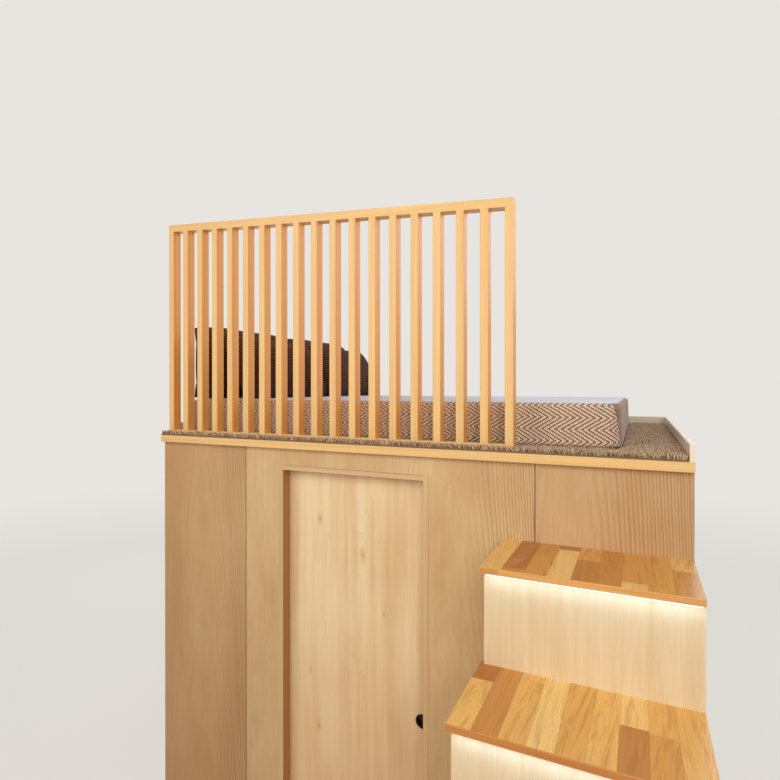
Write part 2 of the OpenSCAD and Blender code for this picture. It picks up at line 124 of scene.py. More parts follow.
class Amount:
    """A number that nodes work out at each point of a surface. Sums with it make further nodes."""

    def __init__(self, graph, socket):
        self.graph, self.socket = graph, socket

    def __add__(self, other):
        return self.graph.calc("ADD", self, other)

    def __sub__(self, other):
        return self.graph.calc("SUBTRACT", self, other)

    def __rsub__(self, other):
        return self.graph.calc("SUBTRACT", other, self)

    def __mul__(self, other):
        return self.graph.calc("MULTIPLY", self, other)

    def __truediv__(self, other):
        return self.graph.calc("DIVIDE", self, other)

    def __pow__(self, other):
        return self.graph.calc("POWER", self, other)

    def __abs__(self):
        return self.graph.calc("ABSOLUTE", self)

    def __floor__(self):
        return self.graph.calc("FLOOR", self)


class Graph:
    """The nodes of a material or of the sky, and what makes and joins them."""

    def __init__(self, owner):
        owner.use_nodes = True
        self.nodes, self.links = owner.node_tree.nodes, owner.node_tree.links

    def add(self, kind, sockets, **settings):
        """A node whose sockets are set to values or joined to other nodes' outputs."""
        node = self.nodes.new("ShaderNode" + kind)
        for key, value in settings.items():
            setattr(node, key, value)
        for key, value in sockets.items():
            value = getattr(value, "socket", value)
            if isinstance(value, bpy.types.NodeSocket):
                self.links.new(value, node.inputs[key])
            else:
                node.inputs[key].default_value = value
        return node

    def calc(self, operation, first, second=0.0):
        return Amount(self, self.add("Math", {0: first, 1: second}, operation=operation).outputs[0])

    def seen_by_eye(self):
        """Gives 1 for what the camera or a reflection sees, 0 for what only lights the object."""
        rays = self.add("LightPath", {}).outputs
        return self.calc("MAXIMUM", rays["Is Camera Ray"], rays["Is Glossy Ray"])

    def choose(self, share, first, second):
        """Goes over from one shader to another by a share."""
        sockets = {0: share, 1: first.outputs[0], 2: second.outputs[0]}
        return self.add("MixShader", sockets).outputs[0]


def light_sky():
    """Sky that lights the object at one level and shows the eye a plain pale colour."""
    scene.world = bpy.data.worlds.new("sky")
    sky = Graph(scene.world)
    sky.nodes.clear()
    light = sky.add("Background", {"Color": tone(*SKY_TINT), "Strength": SKY_LIGHT})
    seen = sky.add("Background", {"Color": tone(*SKY)})
    sky.add("OutputWorld", {0: sky.choose(sky.seen_by_eye(), light, seen)})


def lay_floor(half_width):
    """Level floor that keeps the object's shadow and fades into the sky's colour far away."""
    mesh = bpy.data.meshes.new("studio_floor")
    corners = [(-half_width, -half_width, 0), (half_width, -half_width, 0),
               (half_width, half_width, 0), (-half_width, half_width, 0)]
    mesh.from_pydata(corners, [], [(0, 1, 2, 3)])
    floor = bpy.data.objects.new("studio_floor", mesh)
    scene.collection.objects.link(floor)
    material = bpy.data.materials.new("studio_floor")
    paint = Graph(material)
    paint.nodes.clear()
    matt = paint.add("BsdfDiffuse", {"Color": tone(*FLOOR_TONE)})
    glow = paint.add("Emission", {"Color": tone(*SKY)})
    place = paint.add("TexCoord", {}).outputs["Object"]
    distance = paint.add("VectorMath", {0: place}, operation="LENGTH").outputs["Value"]
    near, far = FLOOR_FADE
    fade = {"Value": distance, "From Min": near, "From Max": far, "To Min": FLOOR_GLOW}
    share = paint.add("MapRange", fade, interpolation_type="SMOOTHSTEP").outputs["Result"]
    paint.add("OutputMaterial", {0: paint.choose(paint.seen_by_eye() * share, matt, glow)})
    mesh.materials.append(material)


scene.view_settings.view_transform = "Standard"
add_camera()
light_sky()
lay_floor(FLOOR_HALF_WIDTH)
for name, (place, target, width, power, colour) in LAMPS.items():
    lamp = add_lamp(name, place, width, width, power, colour)
    lamp.rotation_euler = (Vector(target) - Vector(place)).to_track_quat("-Z", "Y").to_euler()


# Partition and walls. Sheets of softwood plywood, brushed so that the hard late wood of each
# growth ring stands out, matt lacquered, and butted at fine open joints. The sheet's rings run as
# tall arches about its heart and as close lines beside it. Painted shade darkens each sheet by a
# share of its own, and more towards the bottom.
PLY_GROUND = (230, 203, 156)
PLY_PINK = (212, 175, 127)
PLY_LATE = (142, 90, 44)
PLY_SHADE = (164, 108, 58)
PLY_PORE = (164, 121, 78)
PLY_PIN = (120, 80, 48)
PLY_EDGE = (112, 74, 44)
JOINT_HALF = 0.0016
PLY_RING = 0.0041
PLY_HEART_DEPTH = 0.60
PLY_TAPER = 0.016
SHEET_JOINTS = (0.495, 1.745)
# Where each sheet's heart lies from the left, and how much painted shade darkens it
SHEETS = {
    "partition_left": (0.25, 0.34),
    "partition_centre": (1.43, 0.02),
    "partition_right": (1.85, 0.30),
}


class Finish(Graph):
    """A material while it is drawn up: its shader and the helpers for its colours and relief."""

    def __init__(self, name, roughness, shading=()):
        """Shading lists more of the shader's sockets with their values."""
        self.material = bpy.data.materials.new(name)
        super().__init__(self.material)
        self.shader = self.nodes["Principled BSDF"]
        self.shader.inputs["Roughness"].default_value = roughness
        for socket, value in shading:
            self.shader.inputs[socket].default_value = value

    def split(self, vector):
        return [Amount(self, part) for part in self.add("SeparateXYZ", {0: vector}).outputs]

    def place(self):
        """Where a point lies on the object: its x, y and z."""
        return self.split(self.add("TexCoord", {}).outputs["Object"])

    def join(self, x, y, z):
        return self.add("CombineXYZ", {0: x, 1: y, 2: z}).outputs[0]

    def reach(self, aside, above):
        """Slanting distance: the square root of the sum of both ways squared."""
        return self.calc("SQRT", aside * aside + above * above)

    def drawn(self, vector, scales, shift=(0.0, 0.0, 0.0)):
        """A place drawn out by a scale along each axis, then shifted."""
        return self.add("Mapping", {"Vector": vector, "Location": shift, "Scale": scales}).outputs[0]

    def noise(self, vector, detail=3.0, roughness=0.5, distortion=0.0):
        sockets = {"Vector": vector, "Scale": 1.0, "Detail": detail, "Roughness": roughness,
                   "Distortion": distortion}
        return Amount(self, self.add("TexNoise", sockets).outputs[0])

    def streaks(self, across, along, detail=3.0, roughness=0.55, shift=(0.0, 0.0, 0.0), axis=2):
        """Noise drawn out along one axis, given its waves a metre across that axis and along it."""
        scales = [across, across, across]
        scales[axis] = along
        where = self.add("TexCoord", {}).outputs["Object"]
        return self.noise(self.drawn(where, scales, shift), detail, roughness)

    def remap(self, value, low, high, new_low=0.0, new_high=1.0):
        sockets = {"Value": value, "From Min": low, "From Max": high, "To Min": new_low,
                   "To Max": new_high}
        return Amount(self, self.add("MapRange", sockets).outputs[0])

    def blend(self, share, first, second):
        """Colour between two others, each a screen tone or a node's output."""
        colours = [c if isinstance(c, bpy.types.NodeSocket) else tone(*c) for c in (first, second)]
        return self.add("Mix", {0: share, 6: colours[0], 7: colours[1]}, data_type="RGBA").outputs[2]

    def lay(self, ground, top, value, low, high, most=1.0):
        """Lays one colour over another by a share that rises to its most with a value."""
        return self.blend(self.remap(value, low, high, 0.0, most), ground, top)

    def ramp(self, value, stops):
        """Colour read off a scale of screen tones."""
        node = self.add("ValToRGB", {0: value})
        steps = node.color_ramp.elements
        while len(steps) < len(stops):
            steps.new(0.5)
        for step, (position, colour) in zip(steps, stops):
            step.position = position
            step.color = tone(*colour)
        return node.outputs[0]

    def finish(self, colour, height=None, depth=0.0005, strength=0.5):
        """Joins the colour and the relief to the shader and returns the material."""
        self.links.new(colour, self.shader.inputs["Base Color"])
        if height is not None:
            relief = self.add("Bump", {"Height": height, "Distance": depth, "Strength": strength})
            self.links.new(relief.outputs[0], self.shader.inputs["Normal"])
        return self.material

    def chance(self, x, y, z):
        """A random number from 0 to 1, and a random colour, for each set of three numbers."""
        drawn = self.add("TexWhiteNoise", {"Vector": self.join(x, y, z)}).outputs
        return Amount(self, drawn["Value"]), drawn["Color"]

    def rings(self, across, along, heart, depth, pitch, taper, waver, sharpness, mark=0.0):
        """Growth rings in sawn wood: distance from the tree's heart line, which runs a depth behind
        the face, plus the trunk's taper and a slow waver, counted in rings. Gives the late wood, 0
        to 1, the number of the ring, and how steeply the rings stand to the face, 0 at the heart to
        1 far from it."""
        aside = across - heart
        away = self.reach(aside, depth)
        shift = (self.noise(self.join(across * 5.0, mark, along * 1.3), 4.0, 0.55) - 0.5) * waver
        count = (along * taper + away + shift) / pitch
        return self.calc("FRACT", count) ** sharpness, math.floor(count), abs(aside) / away

    def spot(self, across, along, place, size):
        """A soft oval mark: 1 at its middle, 0 beyond its half width and half height."""
        aside, above = (across - place[0]) / size[0], (along - place[1]) / size[1]
        return self.remap(self.reach(aside, above), 0.15, 1.0, 1.0, 0.0)

    def at_joint(self, value, joint, most):
        """A share that falls from its most to 0 over a millimetre beside an open joint."""
        return self.remap(abs(value - joint), JOINT_HALF, JOINT_HALF + 0.001, most, 0.0)

    def sideways_shade(self, most):
        """A share of painted shade that is at its most on faces that look left or right, and 0 on
        the others.
        """
        facing = self.split(self.add("NewGeometry", {}).outputs["Normal"])[0]
        return self.remap(abs(facing), 0.4, 0.9, 0.0, most)


def brushed_plywood(name, heart, face, darker=0.1, axis=0, joints=()):
    """Brushed plywood whose grain runs up; axis is the one that runs across the sheet, and face is
    where its outer face lies along the other. Darker is a share of painted shade over the sheet,
    which grows towards the bottom. It darkens at joints, given as places on its axis."""
    ply = Finish(name, 0.6)
    place = ply.place()
    depth = abs(place[1 - axis] - face) + PLY_HEART_DEPTH
    late, ring, steepness = ply.rings(place[axis], place[2], heart, depth, PLY_RING, PLY_TAPER,
                                      waver=0.009, sharpness=1.5)
    strong = ply.remap(ply.chance(ring, heart, 0.0)[0], 0.0, 1.0, 0.6, 1.0)
    side = ply.remap(place[axis] - heart, -0.15, 0.15, 0.45, 1.0)
    patch = ply.remap(ply.streaks(3.0, 0.6), 0.38, 0.62, 0.55, 1.0)
    steep = ply.remap(steepness, 0.10, 0.31, 0.10, 1.0)
    line = late * steep * strong * patch * side
    cloud = ply.streaks(3.6, 1.3, 4.0, 0.62, (2.0, 5.0, heart))
    vein = ply.streaks(60.0, 1.6)
    fibre = ply.streaks(300.0, 12.0, 2.0, 0.65)
    wood = ply.lay(PLY_GROUND, PLY_PINK, cloud, 0.34, 0.66)
    # Painted shade: the sheet's own share, and more towards the bottom
    wood = ply.blend(ply.remap(place[2], 0.5, 1.6, 0.24, 0.0) + darker, wood, PLY_SHADE)
    wood = ply.blend(line, wood, PLY_LATE)
    wood = ply.lay(wood, PLY_PORE, vein, 0.42, 0.72, 0.10)
    wood = ply.lay(wood, PLY_PORE, fibre, 0.42, 0.72, 0.22)
    spots = ply.join(place[axis] * 5.0, heart, place[2] * 3.4)
    pins = ply.add("TexVoronoi", {"Vector": spots, "Scale": 1.0})
    wood = ply.blend(ply.remap(pins.outputs["Distance"], 0.008, 0.018, 0.45, 0.0), wood, PLY_PIN)
    for joint in joints:
        wood = ply.blend(ply.at_joint(place[axis], joint, 0.75), wood, PLY_EDGE)
    return ply.finish(wood, line * -0.8 + fibre * 0.3, 0.0003, 0.3)


def dress(node, material):
    """Gives a carried-over node its material."""
    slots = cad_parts[node].data.materials
    slots.clear()
    slots.append(material)


joint_places = [room_left + joint for joint in SHEET_JOINTS]
sheets = {}
for name, (heart, darker) in SHEETS.items():
    sheets[name] = brushed_plywood(name, room_left + heart, partition_face, darker, 0, joint_places)
dress("partition_left", sheets["partition_left"])
for part in ("partition_door_left", "partition_door_head", "partition_door_right"):
    dress(part, sheets["partition_centre"])
dress("partition_right", sheets["partition_right"])
dress("side_wall_left", brushed_plywood("left_sheet", 0.4, cad_low.x, axis=1))
dress("side_wall_right", brushed_plywood("right_sheet", 0.4, cad_high.x, axis=1))
dress("rear_wall", brushed_plywood("rear_sheet", 0.2, cad_high.y))


# Lining of the doorway. Three planed boards set flush with the partition's face, a little paler
# than its sheets, with straight grain and a fine open joint round them. Painted shade darkens the
# left board, and a redder painted shade the inner faces.
LINING = (226, 192, 144)
LINING_SHADED = (216, 184, 138)
LINING_LINE = (200, 160, 114)
LINING_INNER_SHADE = (168, 108, 63)


def planed_board(name, axis, ground, line, roughness=0.5, fine=260.0, depth=0.0002, inner_shade=None,
                 joint=None):
    """Straight-grained board: fine streaks drawn out along one axis over slow bands of colour. A
    painted inner shade colours the faces that look sideways, and a joint, given as an axis and a
    place on it, darkens the edge that lies there."""
    wood = Finish(name, roughness)
    fibre = wood.streaks(fine, 4.0, 3.0, 0.6, axis=axis)
    band = wood.streaks(34.0, 1.1, 3.0, 0.5, axis=axis)
    share = wood.remap(fibre, 0.3, 0.75) * 0.35 + wood.remap(band, 0.35, 0.75, 0.0, 0.6)
    colour = wood.blend(share, ground, line)
    # Painted shade on the faces that look sideways
    if inner_shade:
        colour = wood.blend(wood.sideways_shade(0.85), colour, inner_shade)
    if joint:
        colour = wood.blend(wood.at_joint(wood.place()[joint[0]], joint[1], 0.6), colour, PLY_EDGE)
    return wood.finish(colour, fibre, depth, 0.4)


lining_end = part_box("door_lining_right")[1].x
lining_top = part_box("door_lining_head")[1].z
dress("door_lining_left", planed_board(
    "lining_left", 2, LINING_SHADED, LINING_LINE, inner_shade=LINING_INNER_SHADE))
dress("door_lining_right", planed_board(
    "lining_right", 2, LINING, LINING_LINE, inner_shade=LINING_INNER_SHADE, joint=(0, lining_end)))
dress("door_lining_head", planed_board("lining_head", 0, LINING, LINING_LINE, joint=(2, lining_top)))


# Door leaf. A flush leaf faced with one sheet of pale maple veneer, satin lacquered, with long
# soft figure, fine curled lines beside it and a few small knots. Painted shade darkens its lower
# part. It hangs from two trolleys.
LEAF_LIGHT = (246, 226, 186)
LEAF_TONES = [(0.38, (222, 185, 139)), (0.50, (237, 209, 165)), (0.60, LEAF_LIGHT)]
LEAF_LOW_SHADE = (220, 172, 124)
LEAF_LINE = (206, 160, 112)
LEAF_KNOT = (176, 122, 76)
# Each knot's place across and up, and its size
LEAF_KNOTS = [(-0.264, 1.708, 0.019), (-0.058, 1.581, 0.022), (0.035, 1.356, 0.010),
              (-0.313, 1.058, 0.012), (-0.272, 0.83, 0.017), (-0.061, 0.52, 0.024)]


def maple_veneer():
    leaf = Finish("maple_veneer", 0.42)
    x, _, z = leaf.place()
    band = leaf.streaks(11.0, 0.7, 2.0, 0.5, (0.4, 0.0, 2.0))
    figure = leaf.streaks(30.0, 1.3, 2.0, 0.5)
    blot = leaf.streaks(5.0, 2.6, 3.0, 0.5, (3.1, 0.0, 1.7))
    pores = leaf.streaks(300.0, 10.0, 2.0, 0.6)
    wood = leaf.ramp(band * 0.62 + figure * 0.38, LEAF_TONES)
    wood = leaf.lay(wood, LEAF_LIGHT, blot, 0.4, 0.72, 0.5)
    # Painted shade: the leaf darkens towards its bottom, below a wavering height
    shaded_height = z + leaf.remap(blot, 0.3, 0.7, -0.25, 0.25)
    wood = leaf.blend(leaf.remap(shaded_height, 0.7, 1.6, 0.42, 0.0), wood, LEAF_LOW_SHADE)
    late = leaf.rings(x, z, heart=-0.12, depth=0.30, pitch=0.0062, taper=0.05, waver=0.055,
                      sharpness=2.2)[0]
    shown = leaf.remap(leaf.streaks(7.0, 2.0, 2.0), 0.45, 0.66) * 0.2
    wood = leaf.blend(late * shown, wood, LEAF_LINE)
    wood = leaf.lay(wood, LEAF_LINE, pores, 0.45, 0.75, 0.2)
    for place_x, place_z, size in LEAF_KNOTS:
        halo = leaf.spot(x, z, (place_x, place_z), (size, 2.1 * size))
        wood = leaf.blend(halo * 0.5, wood, LEAF_LINE)
        heart = leaf.spot(x, z, (place_x, place_z), (0.32 * size, 0.45 * size))
        wood = leaf.blend(heart * 0.45, wood, LEAF_KNOT)
    return leaf.finish(wood, pores, 0.00015, 0.3)


dress("door_leaf", maple_veneer())


# Door pull and gear. The pull is a turned steel cup, powder coated black. The gear behind the
# partition is a satin aluminium track with zinc-plated trolleys, and a bent steel guide below.
BLACK_COAT = (24, 21, 19)
ALUMINIUM = (196, 198, 200)
ZINC = (176, 178, 180)
METAL_DRIFT = 0.86


def fine_metal(name, colour, metallic, roughness, grain):
    """Metal or coated metal with a fine even grain in its relief and a slight drift in colour."""
    metal = Finish(name, roughness, [("Metallic", metallic)])
    speck = metal.streaks(grain, grain, 2.0)
    drift = metal.streaks(14.0, 14.0, 2.0)
    darker = tuple(round(value * METAL_DRIFT) for value in colour)
    return metal.finish(metal.blend(drift, colour, darker), speck, 0.00006, 0.4)


dress("door_pull", fine_metal("black_coat", BLACK_COAT, 0.3, 0.45, 1600.0))
dress("door_track", fine_metal("satin_aluminium", ALUMINIUM, 1.0, 0.36, 900.0))
zinc = fine_metal("zinc_plate", ZINC, 1.0, 0.4, 500.0)
dress("door_hangers", zinc)
dress("door_guide", zinc)


# Deck frame. Sawn softwood joists on ledgers, and a raw particle board deck over them, which show
# only from below and along the edges.
SOFTWOOD = (222, 186, 136)
SOFTWOOD_LINE = (190, 146, 96)
CHIPS = [(0.2, (176, 138, 92)), (0.5, (198, 160, 112)), (0.8, (214, 180, 134))]


def chip_board():
    chips = Finish("chip_board", 0.8)
    where = chips.add("TexCoord", {}).outputs["Object"]
    cells = chips.add("TexVoronoi", {"Vector": where, "Scale": 190.0}).outputs
    return chips.finish(chips.ramp(cells["Color"], CHIPS), cells["Distance"], 0.0003, 0.4)


dress("deck_board", chip_board())
for part, name, axis in (("joists", "joist_timber", 0), ("wall_ledgers", "ledger_timber", 1)):
    dress(part, planed_board(name, axis, SOFTWOOD, SOFTWOOD_LINE, 0.7, 150.0, 0.0004))


# Edge board and slatted screen. Pale straight-grained timber, satin lacquered. The faces that
# look to the sides are painted warmer and darker, as shade, and no two uprights are quite the same
# tone.
PALE = (243, 206, 141)
PALE_LINE = (224, 178, 116)
PALE_OTHER = (232, 190, 128)
PALE_SIDE_SHADE = (238, 173, 90)
PALE_SIDE_SHADE_LINE = (226, 154, 75)
BAR_APART = 0.0908
BAR_BEFORE = 0.03


def screen_timber(name, axis):
    """Pale timber with fine grain along one axis and painted warm shade on its side faces."""
    bar = Finish(name, 0.46)
    fibre = bar.streaks(210.0, 4.0, 3.0, 0.65, axis=axis)
    band = bar.streaks(60.0, 0.9, 3.0, 0.55, axis=axis)
    share = bar.remap(fibre, 0.35, 0.75) * 0.42 + bar.remap(band, 0.36, 0.7, 0.0, 0.58)
    wood = bar.blend(share, PALE, PALE_LINE)
    number = math.floor((bar.place()[0] - (room_left - BAR_BEFORE)) / BAR_APART)
    own = bar.chance(number, float(axis), 5.0)[0]
    wood = bar.blend(own * 0.22, wood, PALE_OTHER)
    # Painted warm shade for the faces that look to the sides
    side = bar.lay(PALE_SIDE_SHADE, PALE_SIDE_SHADE_LINE, band, 0.3, 0.7)
    wood = bar.blend(bar.sideways_shade(0.86), wood, side)
    return bar.finish(wood, fibre, 0.0002, 0.35)


upright_timber = screen_timber("screen_upright", 2)
level_timber = screen_timber("screen_level", 0)
for part in ("screen_posts", "screen_slats"):
    dress(part, upright_timber)
for part in ("screen_top_rail", "screen_bottom_rail", "edge_board"):
    dress(part, level_timber)


# Skirting. Moulded board with a chamfered top, brush painted in satin cream. It stands on the deck
# against the walls and hides the carpet's cut edges.
CREAM = (242, 231, 212)
CREAM_WORN = (232, 216, 190)


def brushed_paint():
    paint = Finish("cream_paint", 0.4)
    strokes = paint.streaks(9.0, 260.0, 2.0)
    drift = paint.streaks(5.0, 5.0, 2.0)
    colour = paint.lay(CREAM, CREAM_WORN, drift, 0.3, 0.7, 0.5)
    return paint.finish(colour, strokes, 0.00012, 0.35)


cream = brushed_paint()
dress("skirting_sides", cream)
dress("skirting_rear", cream)


# Carpet. Grey-brown shaggy pile on a woven backing, cut to the deck's front edge and round the
# screen's foot. Each tuft is a bent three-sided spike, closer along the front edge, where the cut
# pile hangs a little over the board. Each tuft is painted darker at its foot than at its tip, as
# shade among the pile.
BACKING = 0.006
BACKING_GAP = 0.0003
JUTE = (112, 90, 70), (138, 114, 90)
PILE_EDGE_STEP = 0.0062
PILE_STEP = 0.0070
PILE_JITTER = 0.42
PILE_EDGE_LEAN = (0.0, -0.3)
PILE_EDGE_LENGTH = (0.0100, 0.0190)
PILE_LENGTH = (0.0085, 0.0150)
PILE_WIDTH = 0.0034
PILE_LEAN = 0.7
PILE_BEND = 0.34
PILE_THINNING = 0.8
PILE_MIDDLE = 0.55
# Painted shade: how much paler than the foot each tuft's middle and tip are
PILE_FOOT_SHADE_STEPS = np.array([0, 0, 0, 0.18, 0.18, 0.18, 0.36])
PILE_TONES = [(0.0, (106, 78, 55)), (0.35, (154, 122, 92)), (0.7, (202, 170, 136)),
              (1.0, (240, 218, 186))]
PILE_SPILL = 0.05
PILE_CLUMP = 0.55
PILE_WAVES = np.array([(210.0, 90.0), (-60.0, 140.0), (-110.0, 190.0), (150.0, 70.0)])

carpet_low, carpet_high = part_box("carpet")
rail_low, rail_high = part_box("screen_bottom_rail")
bed_low, bed_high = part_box("mattress")
skirting_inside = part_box("skirting_rear")[0].x
draw = np.random.default_rng(7)


def mesh_piece(name, points, faces, material, smooth=True):
    """Makes a mesh object of points and faces given as arrays, where it stands."""
    mesh = bpy.data.meshes.new(name)
    mesh.from_pydata(points.tolist(), [], faces if isinstance(faces, list) else faces.tolist())
    mesh.polygons.foreach_set("use_smooth", np.full(len(mesh.polygons), smooth))
    mesh.materials.append(material)
    piece = bpy.data.objects.new(name, mesh)
    scene.collection.objects.link(piece)
    return piece


def pile_roots(low, high, step, hole_margin):
    """Points of a jittered grid over a rectangle, without those under the rail, the mattress or the
    left skirting."""
    columns = np.arange(low[0] + step / 2, high[0], step)
    rows = np.arange(low[1] + step / 2, high[1], step)
    spots = np.stack(np.meshgrid(columns, rows), -1).reshape(-1, 2)
    spots += draw.uniform(-PILE_JITTER, PILE_JITTER, spots.shape) * step
    clear = (spots[:, 0] > skirting_inside) | (spots[:, 1] < rail_low.y)
    for box_low, box_high in ((rail_low, rail_high), (bed_low, bed_high)):
        inside = (spots[:, 0] > box_low.x - hole_margin) & (spots[:, 0] < box_high.x + hole_margin)
        inside &= (spots[:, 1] > box_low.y - hole_margin) & (spots[:, 1] < box_high.y + hole_margin)
        clear &= ~inside
    return spots[clear]


def tufts(roots, base, lengths, bias):
    """Spikes over the roots: a triangle at the foot, a narrower one half way that has leant over
    by a third, and a tip that has leant over by the whole. Neighbours lean together in clumps, by
    two waves that cross. Gives points, faces and a shade for each point: a random tone, with
    painted shade darkest at the foot."""
    count = len(roots)
    wave = np.sin(roots @ PILE_WAVES[0] + 2.0 * np.sin(roots @ PILE_WAVES[1]))
    other = np.sin(roots @ PILE_WAVES[2] + 2.0 * np.sin(roots @ PILE_WAVES[3]))
    clump = np.stack([wave, other], 1) * PILE_CLUMP
    length = draw.uniform(*lengths, count)
    heading = draw.uniform(0, 2 * np.pi, count)
    lean = draw.uniform(0.1, 1.0, count) * PILE_LEAN
    reach = np.stack([np.cos(heading), np.sin(heading)], 1) * lean[:, None]
    reach = (reach + clump + np.array(bias)) * length[:, None]
    turn = draw.uniform(0, 2 * np.pi, count)
    corner = turn[:, None] + np.array([0, 2, 4]) * np.pi / 3
    ring = np.stack([np.cos(corner), np.sin(corner)], 2)
    foot = np.zeros((count, 3, 3))
    foot[..., :2] = roots[:, None] + ring * PILE_WIDTH
    foot[..., 2] = base
    middle = foot.copy()
    middle[..., :2] = (roots + reach * PILE_BEND)[:, None] + ring * PILE_WIDTH * PILE_THINNING
    middle[..., 2] = (base + length * PILE_MIDDLE)[:, None]
    tip = np.concatenate([roots + reach, (base + length)[:, None]], 1)[:, None]
    points = np.concatenate([foot, middle, tip], 1).reshape(-1, 3)
    start = np.arange(count)[:, None] * 7
    quads = [(start + np.array([i, (i + 1) % 3, 3 + (i + 1) % 3, 3 + i])).tolist() for i in range(3)]
    tops = [(start + np.array([3 + i, 3 + (i + 1) % 3, 6])).tolist() for i in range(3)]
    shade = (draw.uniform(0, 0.62, count) + 0.08 * (1 + wave * other))[:, None]
    return points, sum(quads + tops, []), (shade + PILE_FOOT_SHADE_STEPS).ravel()


def pile_yarn():
    yarn = Finish("pile_yarn", 0.95, [("Sheen Weight", 0.25), ("Specular IOR Level", 0.2)])
    shade = yarn.add("Attribute", {}, attribute_name="pile_shade").outputs["Fac"]
    return yarn.finish(yarn.ramp(shade, PILE_TONES))


def make_carpet():
    yarn = pile_yarn()
    base = carpet_low.z + BACKING
    split = carpet_low.y + PILE_SPILL
    roots = pile_roots((carpet_low.x, carpet_low.y), (carpet_high.x, split), PILE_EDGE_STEP, 0.002)
    edge = tufts(roots, base, PILE_EDGE_LENGTH, PILE_EDGE_LEAN)
    roots = pile_roots((carpet_low.x, split), (carpet_high.x, carpet_high.y), PILE_STEP, 0.004)
    rest = tufts(roots, base, PILE_LENGTH, (0.0, 0.0))
    points = np.concatenate([edge[0], rest[0]])
    left_end = np.where(points[:, 1] > rail_high.y, skirting_inside, carpet_low.x)
    points[:, 0] = np.clip(points[:, 0], left_end, carpet_high.x)
    points[:, 1] = np.minimum(points[:, 1], carpet_high.y)
    faces = edge[1] + [[i + len(edge[0]) for i in face] for face in rest[1]]
    pile = mesh_piece("carpet_pile", points, faces, yarn)
    shade = pile.data.attributes.new("pile_shade", "FLOAT", "POINT")
    shade.data.foreach_set("value", np.concatenate([edge[2], rest[2]]).astype(np.float32))
    return pile


def make_backing():
    """Backing sheet: the carpet's outline round the screen's foot, raised to its thickness."""
    left, right, front, back = carpet_low.x, carpet_high.x, carpet_low.y, carpet_high.y
    inner_left, rail_end = skirting_inside + BACKING_GAP, rail_high.x + BACKING_GAP
    rail_front, rail_back = rail_low.y - BACKING_GAP, rail_high.y + BACKING_GAP
    outline = np.array([
        (left, front), (right, front), (right, back), (inner_left, back), (inner_left, rail_back),
        (rail_end, rail_back), (rail_end, rail_front), (left, rail_front)])
    count = len(outline)
    floor = np.column_stack([outline, np.full(count, carpet_low.z)])
    top = np.column_stack([outline, np.full(count, carpet_low.z + BACKING)])
    sides = [[i, (i + 1) % count, count + (i + 1) % count, count + i] for i in range(count)]
    faces = [list(range(count))[::-1], list(range(count, 2 * count))] + sides
    weave = Finish("carpet_backing", 0.95)
    speck = weave.streaks(600.0, 600.0, 2.0)
    jute = weave.finish(weave.blend(speck, *JUTE), speck)
    return mesh_piece("carpet_backing", np.concatenate([floor, top]), faces, jute, False)


pile = make_carpet()
backing = make_backing()
for piece in (pile, backing):
    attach(piece, "loft")
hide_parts("carpet")


# Mattress. A foam block with rounded corners in a plain pale cover. A woven chevron panel runs
# along its front and wraps a little round both corners, where a seam joins it to the plain ends,
# which are painted dark taupe as shade.
CHEVRON_BAND = 0.0425
CHEVRON_ROW = 2.1180
CHEVRON_STEP = 0.0229
CHEVRON_ANGLE = 31.8
SEAM_TOP = 0.049
SEAM_SLANT = 0.034
SEAM_HALF = 0.0016
SEAM_TONE = (92, 62, 48)
CREAM_YARN = (214, 188, 162), (252, 234, 212)
BROWN_YARN = (118, 82, 62), (150, 112, 88)
PLAIN_SIDE_SHADE = (160, 130, 107), (146, 117, 94)
PALE_COVER = (222, 228, 254), (208, 215, 246)
BED_CORNERS = (0.065, 0.065, 0.028, 0.028)
BED_SIDE_STEPS = 40
BED_CORNER_STEPS = 10
BED_ROUND_STEPS = 8
BED_WALL_STEPS = 16
BED_TOP_RINGS = 25
BED_COVER_ROWS = 3
BED_UNDER = np.array([[0.02], [0.6]])
BED_HOLE = 0.02
BED_TAPER = 0.004
BED_TOP_ROUND = 0.022
BED_FOOT_ROUND = 0.010
BED_CROWN = 0.005
BED_STITCH = 0.0062


def rounded_outline(half_length, half_width, corners, per_side, per_corner):
    """Rounded rectangle from the middle of its rear side, clockwise from above, as points and the
    distance run round it. Each corner has a radius of its own."""
    centres = [(half_length, half_width, 90, 0), (half_length, -half_width, 0, -90),
               (-half_length, -half_width, -90, -180), (-half_length, half_width, 180, 90)]
    path = [np.array([[0.0, half_width]])]
    for corner, (x, y, start, end) in zip(corners, centres):
        angle = np.radians(np.linspace(start, end, per_corner))
        centre = np.array([x - np.sign(x) * corner, y - np.sign(y) * corner])
        arc = centre + corner * np.stack([np.cos(angle), np.sin(angle)], 1)
        last = path[-1][-1]
        share = np.linspace(0, 1, per_side + 1)[1:-1, None]
        path += [last + (arc[0] - last) * share, arc]
    last = path[-1][-1]
    share = np.linspace(0, 1, per_side + 1)[1:, None]
    path.append(last + (path[0][0] - last) * share)
    points = np.concatenate(path)
    run = np.concatenate([[0], np.cumsum(np.linalg.norm(np.diff(points, axis=0), axis=1))])
    return points, run


